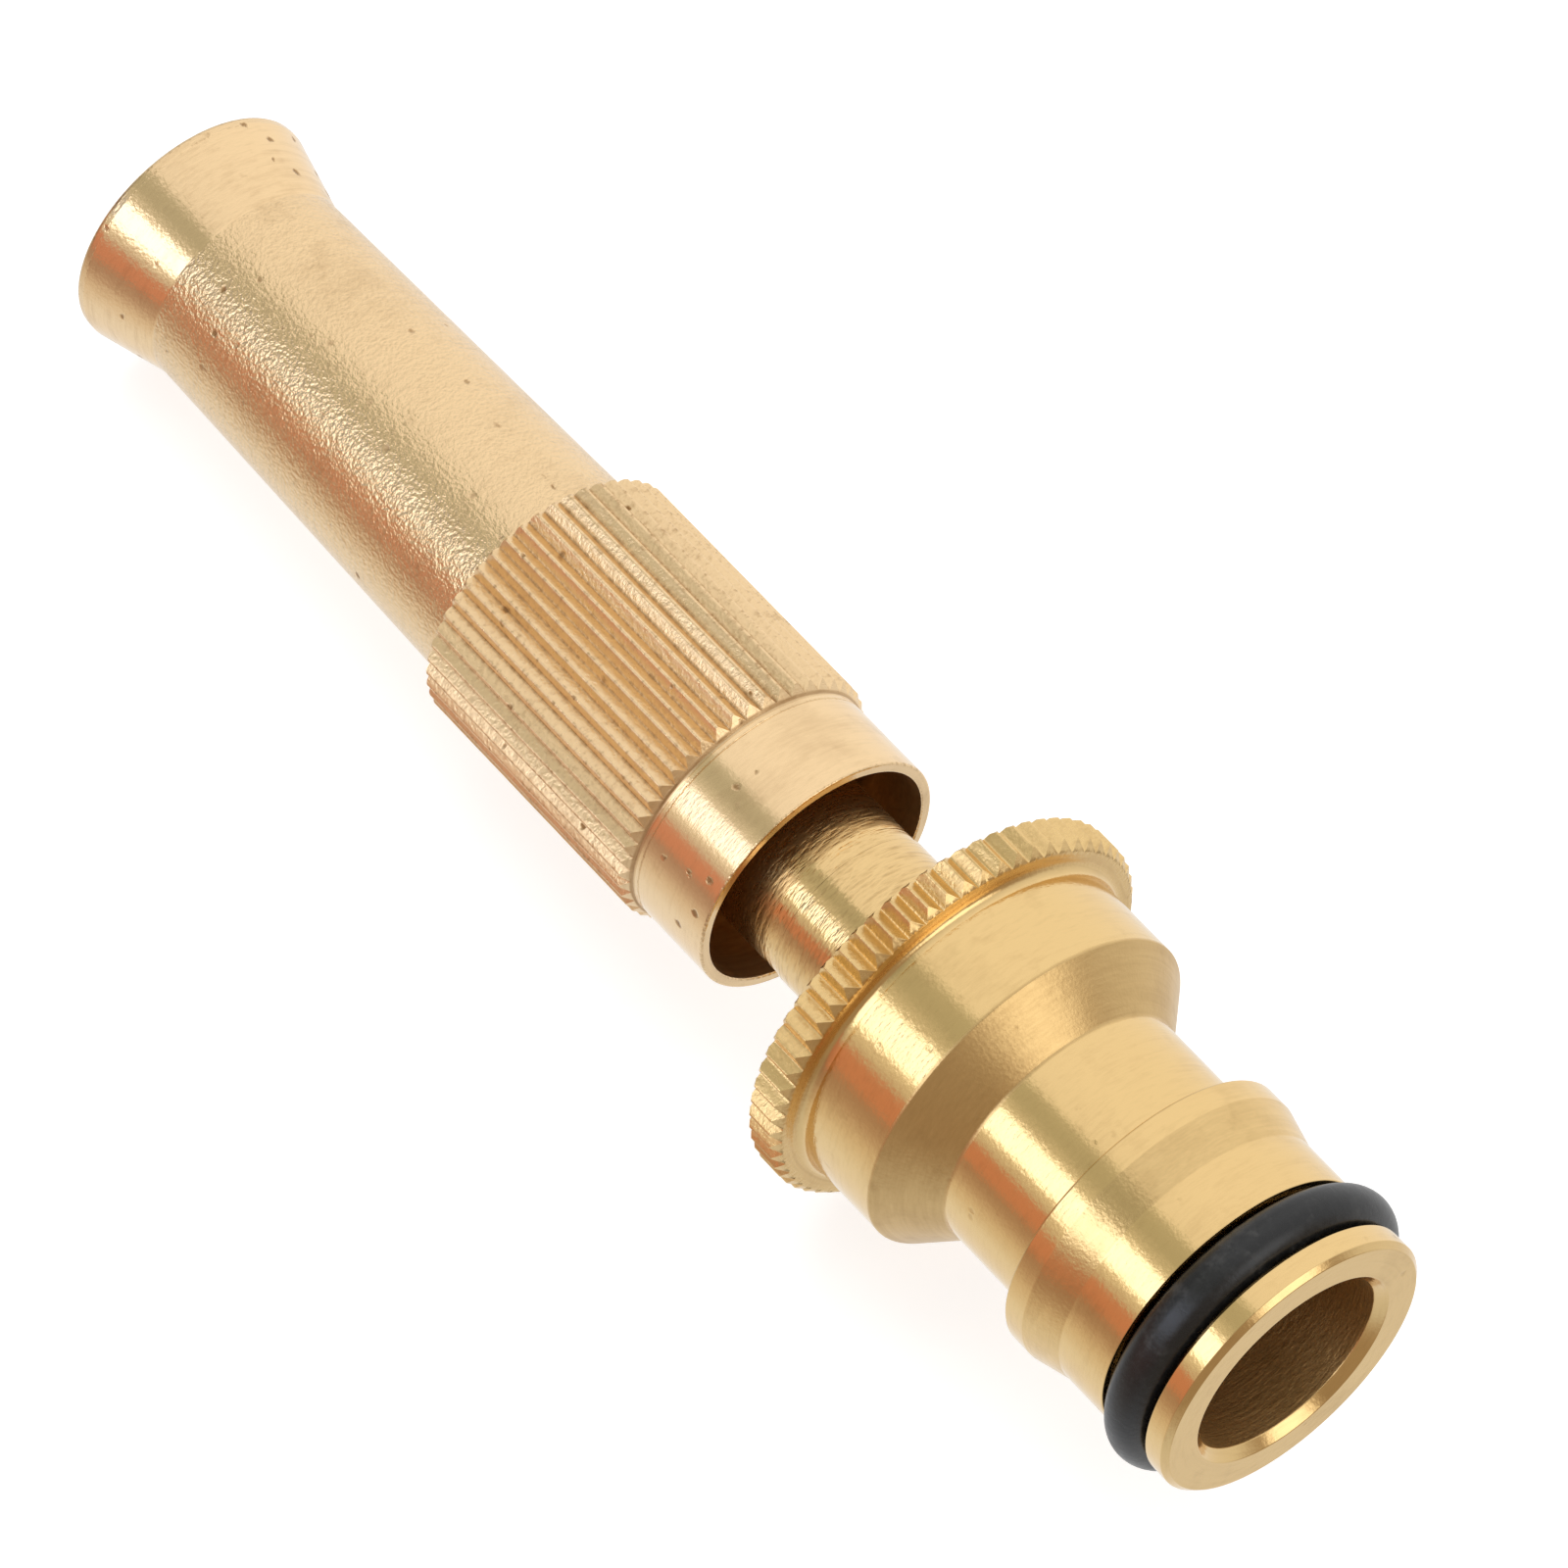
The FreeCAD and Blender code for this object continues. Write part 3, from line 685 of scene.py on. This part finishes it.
class Finish:
    """Node tree of a material or a world, built by one method."""

    def __init__(self, tree):
        self.tree = tree

    def node(self, kind, settings=None, inputs=None):
        """Add a node: settings first, then the values or links of its sockets."""
        node = self.tree.nodes.new(kind)
        for key, value in (settings or {}).items():
            if key == "stops":
                set_stops(node.color_ramp, value)
            else:
                setattr(node, key, value)
        for key, value in (inputs or {}).items():
            self.feed(node.inputs[key], value)
        return Node(self, node)

    def feed(self, socket, value):
        """Link or set one socket."""
        if isinstance(value, Number):
            value = value.socket
        if isinstance(value, bpy.types.NodeSocket):
            self.tree.links.new(value, socket)
        else:
            socket.default_value = value

    def blend(self, share, first, second):
        """Mix of two colours."""
        settings = {"data_type": "RGBA", "clamp_factor": True}
        inputs = {"Factor": share, 6: first, 7: second}
        return self.node("ShaderNodeMix", settings, inputs).node.outputs[2]

    def noise(self, place, scale, detail=2.0, rough=0.5):
        """Noise of about -1 to 1 at a place, with its usual swing stretched to fill that."""
        inputs = {"Vector": place, "Scale": scale, "Detail": detail, "Roughness": rough}
        return self.node("ShaderNodeTexNoise", None, inputs).number() * 4 - 2

    def point(self, x, y, z):
        """Place made from three numbers."""
        inputs = {"X": x, "Y": y, "Z": z}
        return self.node("ShaderNodeCombineXYZ", None, inputs).node.outputs[0]


def set_stops(ramp, stops):
    """Give a colour ramp these (position, colour) stops."""
    while len(ramp.elements) > 1:
        ramp.elements.remove(ramp.elements[-1])
    for number, (position, colour) in enumerate(stops):
        element = ramp.elements[0] if number == 0 else ramp.elements.new(position)
        element.position = position
        element.color = (*colour, 1)


def new_finish(name):
    """Material with an empty tree but for the Principled shader; returns it and its parts."""
    material = bpy.data.materials.new(name)
    material.use_nodes = True
    finish = Finish(material.node_tree)
    return material, finish, material.node_tree.nodes["Principled BSDF"]


# %% [markdown]
# ## Turned brass
#
# Brass that comes off a lathe is never one even mirror. The tool leaves fine rings round the axis,
# tumbling leaves a dimpled satin grain, fingers and water leave warm and dull patches, and flaws in
# the bar show as a few dark pits. The shader makes each of these from the place on the piece. Rings
# are noise stretched round the axis, so they follow the distance along it and from it. The same
# patterns drive colour, roughness and bump, so that they agree. A list of zones says where a piece
# is duller or darker. In hollows such as the inside of the skirt, the darker colour is painted
# shade.

# %% Brass
ZONE_EDGE = 0.06
BUMP_DEPTH = 0.05
SMOOTHEST = 0.06
LINE_COLOUR, LINE_ROUGHNESS, LINE_HEIGHT = 0.28, 0.05, 0.10


def zone_mask(station, radius, first, last, low, high):
    """1 between two stations and two radii, with a soft edge."""
    along = station.between(first - ZONE_EDGE, first + ZONE_EDGE)
    along = along * station.between(last + ZONE_EDGE, last - ZONE_EDGE)
    across = radius.between(low - ZONE_EDGE, low + ZONE_EDGE)
    return along * across * radius.between(high + ZONE_EDGE, high - ZONE_EDGE)


def brass(name, colour, stain_and_shade, polish, rings, grain, crest_grain, pits, zones):
    """Brass of a colour with a stain colour that also paints shade, base roughness and the strength
    of each texture.

    Each zone is (first station, last station, low radius, high radius, roughness added, share of
    the stain, grain added, turned lines added). In hollows that share of the stain is painted
    shade.
    """
    material, finish, shader = new_finish(name)
    place = finish.node("ShaderNodeTexCoord").node.outputs["Object"]
    split = finish.node("ShaderNodeSeparateXYZ", None, {0: place})
    x, y, z = (split.number(axis) * (1 / MM) for axis in range(3))
    station = x * -1
    radius = (y * y + z * z) ** 0.5
    edge = finish.node("ShaderNodeAttribute", {"attribute_name": "edge"}).number("Fac")

    patches = finish.noise(place, 190.0, 4.0, 0.6)
    smudges = finish.noise(place, 620.0, 3.0, 0.65)
    around = y * 0.20 + z * 0.13
    ring_place = finish.point(station, radius, around)
    coarse_rings = finish.noise(ring_place, 3.2, 2.0, 0.6)
    fine_rings = finish.noise(ring_place, 6.5, 2.0, 0.6)
    dimples = finish.noise(place, 4800.0, 2.0, 0.5)
    ripples = finish.noise(place, 1900.0, 2.0, 0.5)
    wander = finish.noise(place, 1500.0, 3.0, 0.6) * 0.5
    pit_place = finish.point(x + wander * 0.35, y + wander * 0.25, z - wander * 0.3)
    cells = finish.node("ShaderNodeTexVoronoi", None, {"Vector": pit_place, "Scale": 0.6})
    chosen = finish.noise(place, 130.0, 1.0, 0.5).between(0.0, 0.5)
    pit = cells.number("Distance").between(0.16, 0.05) * chosen * pits

    dull_and_shade = patches.between(-0.1, 1.0) * 0.2 + smudges.between(0.1, 1.1) * 0.14
    tool = coarse_rings * 0.5 + fine_rings * 0.5
    bumps = dimples * 0.28 + ripples * 0.10
    crest = edge * crest_grain * (coarse_rings * 0.45 + dimples * 0.45)
    rough = polish
    worn, lines = grain, rings
    # Zones over hollows add painted shade: their share pulls the colour towards the stain colour.
    for first, last, low, high, added, share, more_grain, more_lines in zones:
        inside = zone_mask(station, radius, first, last, low, high)
        rough = rough + inside * added
        dull_and_shade = dull_and_shade + inside * share
        worn = inside * more_grain + worn
        lines = inside * more_lines + lines
    turned = tool * lines
    rough = rough + turned * LINE_ROUGHNESS + dull_and_shade * 0.18 + pit * 0.3
    stain_and_shade_mix = dull_and_shade + turned * LINE_COLOUR + bumps * worn * 0.25 + pit * 1.1 + crest
    # The colour mixes towards the stain colour for real patches, pits and turned lines, and for
    # painted shade in the zones over hollows.
    finish.feed(shader.inputs["Base Color"], finish.blend(stain_and_shade_mix, (*colour, 1), (*stain_and_shade, 1)))
    finish.feed(shader.inputs["Roughness"], rough.math("MAXIMUM", SMOOTHEST))
    shader.inputs["Metallic"].default_value = 1.0

    height = turned * LINE_HEIGHT + bumps * worn - pit * 0.6 - crest * 0.35
    bump = finish.node("ShaderNodeBump", None,
                       {"Strength": 1.0, "Distance": BUMP_DEPTH * MM, "Height": height})
    finish.feed(shader.inputs["Normal"], bump.node.outputs["Normal"])
    return material


ADAPTER_FINISH = brass(
    "golden_brass", (0.86, 0.60, 0.27), (0.42, 0.25, 0.09), 0.13, 0.5, 0.10, 0.0, 0.3, zones=(
        (17.3, 20.1, 7.0, 9.9, 0.14, 0.30, 0.1, 0.0),
        # The bore: its stain share is painted shade inside the water way.
        (0.5, 17.6, 0.0, 5.6, 0.27, 0.5, 0.2, 1.5),
        (7.8, 9.9, 7.9, 8.6, 0.05, 0.1, 0.1, 0.0),
        (25.1, 27.4, 10.0, 12.0, 0.15, 0.0, 0.15, 0.5),
    ))
STEM_FINISH = brass(
    "stem_brass", (0.86, 0.60, 0.28), (0.45, 0.27, 0.10), 0.12, 2.4, 0.06, 0.0, 0.1, zones=(
        # Painted shade: the stem is darkened towards the stain colour from under the skirt's mouth
        # on, where the barrel shades it.
        (34.5, 80.0, 0.0, 7.0, 0.1, 0.35, 0.0, 0.0),
    ))
BARREL_FINISH = brass(
    "peach_brass", (0.94, 0.68, 0.385), (0.45, 0.27, 0.12), 0.15, 0.5, 0.08, 1.0, 1.0, zones=(
        (57.7, 82.4, 6.0, 6.95, 0.04, 0.0, 0.85, 0.0),
        (82.5, 88.0, 6.0, 7.3, 0.0, 0.0, 0.12, 0.3),
        (41.5, 57.7, 7.2, 7.8, 0.18, -0.08, 0.3, 1.2),
        # Painted shade in the knurl's grooves and along its front edge, drawn as a dark stain.
        (41.4, 57.7, 7.2, 7.38, 0.1, 0.7, 0.0, 0.0),
        # Painted shade inside the skirt and the barrel's bore, drawn as a dark stain.
        (36.2, 57.0, 0.0, 6.72, 0.2, 0.75, 0.0, 0.0),
    ))
print("brass finishes with", len(BARREL_FINISH.node_tree.nodes), "nodes")

# %% [markdown]
# ## Black rubber
#
# Nitrile rubber is nearly black with a soft sheen, faintly uneven from the mould, and dusted where
# it is handled. It reflects like a dull plastic, so it is the same shader without metal.

# %% Rubber
def rubber(name, shade, roughness):
    """Dark rubber with a mould's fine mottle and a little dust."""
    material, finish, shader = new_finish(name)
    place = finish.node("ShaderNodeTexCoord").node.outputs["Object"]
    mottle = finish.noise(place, 2600.0, 3.0, 0.6)
    dust = finish.noise(place, 420.0, 4.0, 0.7).between(0.1, 0.8)
    colour = finish.blend(dust * 0.35 + mottle * 0.1, (shade, shade, shade * 1.02, 1),
                          (0.09, 0.088, 0.082, 1))
    finish.feed(shader.inputs["Base Color"], colour)
    finish.feed(shader.inputs["Roughness"], mottle * 0.05 + dust * 0.12 + roughness)
    bump = finish.node("ShaderNodeBump", None,
                       {"Strength": 0.6, "Distance": 0.000006, "Height": mottle})
    finish.feed(shader.inputs["Normal"], bump.node.outputs["Normal"])
    return material


RING_FINISH = rubber("ring_rubber", 0.009, 0.30)
SEAL_FINISH = rubber("seal_rubber", 0.025, 0.45)
WASHER_FINISH = rubber("washer_rubber", 0.03, 0.6)

for piece, material in (
    (adapter, ADAPTER_FINISH), (stem, STEM_FINISH), (barrel, BARREL_FINISH),
    (coupling_ring, RING_FINISH), (sealing_ring, SEAL_FINISH), (shutoff_ring, SEAL_FINISH),
    (washer, WASHER_FINISH),
):
    piece.data.materials.append(material)

# %% [markdown]
# ## The floor
#
# The nozzle lies on its side and touches the floor at two places: the flange, which is the widest
# part, and the rim of the mouth. The floor is the plane through both, so it tilts a little in the
# nozzle's frame. Far away it sinks gently, so that low views still look along it from above.

# %% Floor
CONTACT_STATION, CONTACT_Z = 26.3 * MM, -FLANGE_RADIUS * MM
TILT = 0.0707
FLOOR_RINGS, FLOOR_COLUMNS = 61, 96
FLOOR_SINK = 0.11


def make_floor():
    """Disc whose height is the plane - sink (sqrt((d - flat)^2 + bend^2) - bend) beyond flat."""
    middle, rim, flat, bend = -0.044, 1.5, 0.05, 0.04
    distance = np.concatenate([[0.0], np.geomspace(0.01, rim, FLOOR_RINGS - 1)])[:, None]
    angle = np.arange(FLOOR_COLUMNS)[None, :] * 2 * math.pi / FLOOR_COLUMNS
    x = middle + distance * np.cos(angle)
    y = distance * np.sin(angle)
    over = np.maximum(distance - flat, 0)
    z = CONTACT_Z + TILT * (-x - CONTACT_STATION)
    z = z - FLOOR_SINK * (np.hypot(over, bend) - bend)
    grid = np.stack(np.broadcast_arrays(x, y, z), -1).reshape(-1, 3)
    numbers = np.arange(FLOOR_RINGS * FLOOR_COLUMNS).reshape(FLOOR_RINGS, FLOOR_COLUMNS)
    ahead = np.roll(numbers, -1, axis=1)
    quads = np.stack([numbers[1:-1], numbers[2:], ahead[2:], ahead[1:-1]], -1).reshape(-1, 4)
    centre = np.stack([numbers[1], ahead[1], np.zeros(FLOOR_COLUMNS, int)], -1)
    mesh = bpy.data.meshes.new("floor")
    mesh.from_pydata(grid, [], [*quads.tolist(), *centre.tolist()])
    mesh.validate()
    mesh.polygons.foreach_set("use_smooth", np.ones(len(mesh.polygons), bool))
    floor = bpy.data.objects.new("floor", mesh)
    bpy.context.scene.collection.objects.link(floor)
    return floor


floor = make_floor()
floor_material, _, floor_shader = new_finish("white_paper")
floor_shader.inputs["Base Color"].default_value = (0.7, 0.7, 0.7, 1)
floor_shader.inputs["Roughness"].default_value = 0.9
floor_shader.inputs["Specular IOR Level"].default_value = 0.0
floor_shader.inputs["Emission Color"].default_value = (1, 1, 1, 1)
floor_shader.inputs["Emission Strength"].default_value = 0.62
floor.data.materials.append(floor_material)
floor.visible_glossy = False

# %% [markdown]
# ## Studio light
#
# Polished metal shows its surroundings, so the light is designed as surroundings. Most of the
# directions are white, one narrow strip is very bright, and a few darker and warmer bands beside
# it draw the long lines that make a cylinder look like metal. The bands run along the nozzle, so
# they depend on one angle only: the direction's turn about the axis, from straight up towards +Y.
# The inlet's side is darker, which gives the chamfers and the cone their depth. The bright strip
# is a lamp of limited length. Straight surfaces reflect it, but the tube tapers, which leans its
# reflections past the lamp's end, so the tube's own line is darker.

# %% World
BANDS = (
    (-180, (0.9, 0.9, 0.9)), (-143, (0.85, 0.87, 0.9)), (-123, (0.72, 0.66, 0.6)),
    (-108, (0.5, 0.38, 0.32)), (-99, (0.42, 0.30, 0.25)), (-92, (0.62, 0.30, 0.22)),
    (-80, (0.62, 0.30, 0.22)), (-76, (0.6, 0.55, 0.5)), (-66, (0.8, 0.78, 0.7)),
    (-63, (0.8, 0.85, 1.0)), (-45, (0.8, 0.85, 1.0)), (-42, (0.72, 0.72, 0.66)),
    (-30, (0.50, 0.51, 0.44)),
    (-17, (0.54, 0.55, 0.48)), (-12, (0.95, 0.95, 0.95)), (20, (1.0, 1.0, 1.0)),
    (90, (1.0, 1.0, 1.0)), (180, (0.92, 0.92, 0.92)),
)
STRIP_LOW, STRIP_HIGH, STRIP_LIGHT = -66, -42, 2.5
STRIP_END, STRIP_DARK = (-0.472, -0.442), 0.35
INLET_SIDE, INLET_COLOUR = (0.5, 0.8), (0.5, 0.4, 0.3)
ALONG = (
    (-1.0, 0.7), (-0.75, 0.75), (-0.44, 1.0), (-0.2, 1.0), (0.07, 0.90), (0.5, 0.78), (1.0, 0.75),
)
KEY_DIRECTION, KEY_LIGHT = (0.846, 0.285, 0.452), 1.9
KEY_EDGE = (0.89, 0.985)


def light_world():
    """White surroundings with bands round the nozzle's axis."""
    world = bpy.data.worlds.new("studio")
    bpy.context.scene.world = world
    world.use_nodes = True
    world.node_tree.nodes.clear()
    sky = Finish(world.node_tree)
    direction = sky.node("ShaderNodeTexCoord").node.outputs["Generated"]
    split = sky.node("ShaderNodeSeparateXYZ", None, {0: direction})
    x, y, z = (split.number(axis) for axis in range(3))
    turn = y.math("ARCTAN2", z) * (180 / math.pi)
    stops = [((angle + 180) / 360, colour) for angle, colour in BANDS]
    bands = sky.node("ShaderNodeValToRGB", {"stops": stops}, {0: turn * (1 / 360) + 0.5})
    strip = turn.between(STRIP_LOW, STRIP_LOW + 2) * turn.between(STRIP_HIGH, STRIP_HIGH - 2)
    stops = [((place + 1) / 2, (share,) * 3) for place, share in ALONG]
    along = sky.node("ShaderNodeValToRGB", {"stops": stops}, {0: x * 0.5 + 0.5}).number()
    inlet_side = x.between(*INLET_SIDE)
    toward_key = x * KEY_DIRECTION[0] + y * KEY_DIRECTION[1] + z * KEY_DIRECTION[2]
    key = toward_key.between(*KEY_EDGE)
    side = sky.blend(key, (*INLET_COLOUR, 1), (1, 1, 1, 1))
    colour = sky.blend(inlet_side, bands.node.outputs[0], side)
    lamp = x.between(*STRIP_END) * (STRIP_LIGHT - 1 + STRIP_DARK) - STRIP_DARK
    strength = strip * (1 - inlet_side) * lamp + key * (KEY_LIGHT - 1) + along
    seen = sky.node("ShaderNodeBackground", None, {"Color": (1, 1, 1, 1), "Strength": 1.0})
    light = sky.node("ShaderNodeBackground", None, {"Color": colour, "Strength": strength})
    is_camera = sky.node("ShaderNodeLightPath").node.outputs["Is Camera Ray"]
    mixed = sky.node("ShaderNodeMixShader", None, {
        0: is_camera, 1: light.node.outputs[0], 2: seen.node.outputs[0]})
    sky.node("ShaderNodeOutputWorld", None, {0: mixed.node.outputs[0]})


light_world()

SOFTBOX_POWER, SOFTBOX_SIZE = 0.9, 0.5
SOFTBOX_PLACE, SOFTBOX_AIM = Vector((-0.15, 0.1, 0.6)), Vector((-0.044, 0, 0))
lamp_data = bpy.data.lights.new("softbox", "AREA")
lamp_data.shape = "SQUARE"
lamp_data.size = SOFTBOX_SIZE
lamp_data.energy = SOFTBOX_POWER
softbox = bpy.data.objects.new("softbox", lamp_data)
bpy.context.scene.collection.objects.link(softbox)
softbox.location = SOFTBOX_PLACE
softbox.rotation_euler = (SOFTBOX_AIM - SOFTBOX_PLACE).to_track_quat("-Z", "Y").to_euler()
softbox.visible_glossy = False
print("world with", len(BANDS), "bands")

# %% [markdown]
# ## The camera
#
# A long lens from a little under half a metre looks steeply down on the inlet's side. The camera is
# placed by the direction it looks from, and it aims a few millimetres beside the middle of the
# nozzle's box.

# %% Camera
AZIMUTH, ELEVATION = math.radians(51.24), math.radians(55.95)
DISTANCE, LENS = 0.4861, 225.7
AIM_RIGHT, AIM_UP = 0.00319, -0.00041

right = Vector((math.cos(AZIMUTH), math.sin(AZIMUTH), 0))
back = Vector((math.sin(AZIMUTH) * math.cos(ELEVATION), -math.cos(AZIMUTH) * math.cos(ELEVATION),
               math.sin(ELEVATION)))
up = back.cross(right)
middle = Vector((cad_low.x + cad_high.x, 0, 0)) / 2
camera_data = bpy.data.cameras.new("camera")
camera_data.lens = LENS
camera_data.sensor_width = 36
camera_data.clip_start = 0.01
camera = bpy.data.objects.new("camera", camera_data)
bpy.context.scene.collection.objects.link(camera)
camera.location = middle + right * AIM_RIGHT + up * AIM_UP + back * DISTANCE
camera.rotation_euler = (-back).to_track_quat("-Z", "Y").to_euler()
bpy.context.scene.camera = camera
bpy.context.scene.view_settings.view_transform = "Standard"
print("camera at", tuple(round(value, 3) for value in camera.location))
